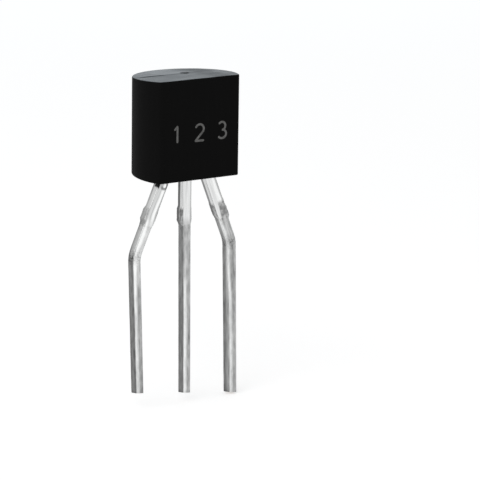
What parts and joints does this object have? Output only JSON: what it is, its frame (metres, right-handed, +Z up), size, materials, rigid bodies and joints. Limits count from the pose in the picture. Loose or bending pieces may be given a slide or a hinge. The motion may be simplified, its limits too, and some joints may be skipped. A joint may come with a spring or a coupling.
{
  "type": "to-92 transistor",
  "caption": "Small through-hole transistor: a D-shaped black moulded case with a flat front, and a row of tinned leads that spread below it and turn down again.",
  "frame": {"origin": "centre line of the middle lead, in the plane of the leads, where it leaves the underside of the case", "axes": "+Z up through the case with the leads pointing down, -Y out of the flat front of the case, +X from the emitter lead to the collector lead"},
  "size_m": [0.0057, 0.0036, 0.0151],
  "materials": {
    "case_epoxy": "black moulding compound, satin from the mould",
    "tinned_lead": "tin plated, lightly drawn along the lead",
    "solder": "dull solder",
    "silicon": "polished silicon",
    "gold_wire": "drawn gold"
  },
  "bodies": {
    "root": {"case": "case_epoxy", "emitter_lead": "tinned_lead", "base_lead": "tinned_lead", "collector_lead": "tinned_lead", "die_attach": "solder", "die": "silicon", "emitter_bond_wire": "gold_wire", "base_bond_wire": "gold_wire"}
  },
  "joints": []
}
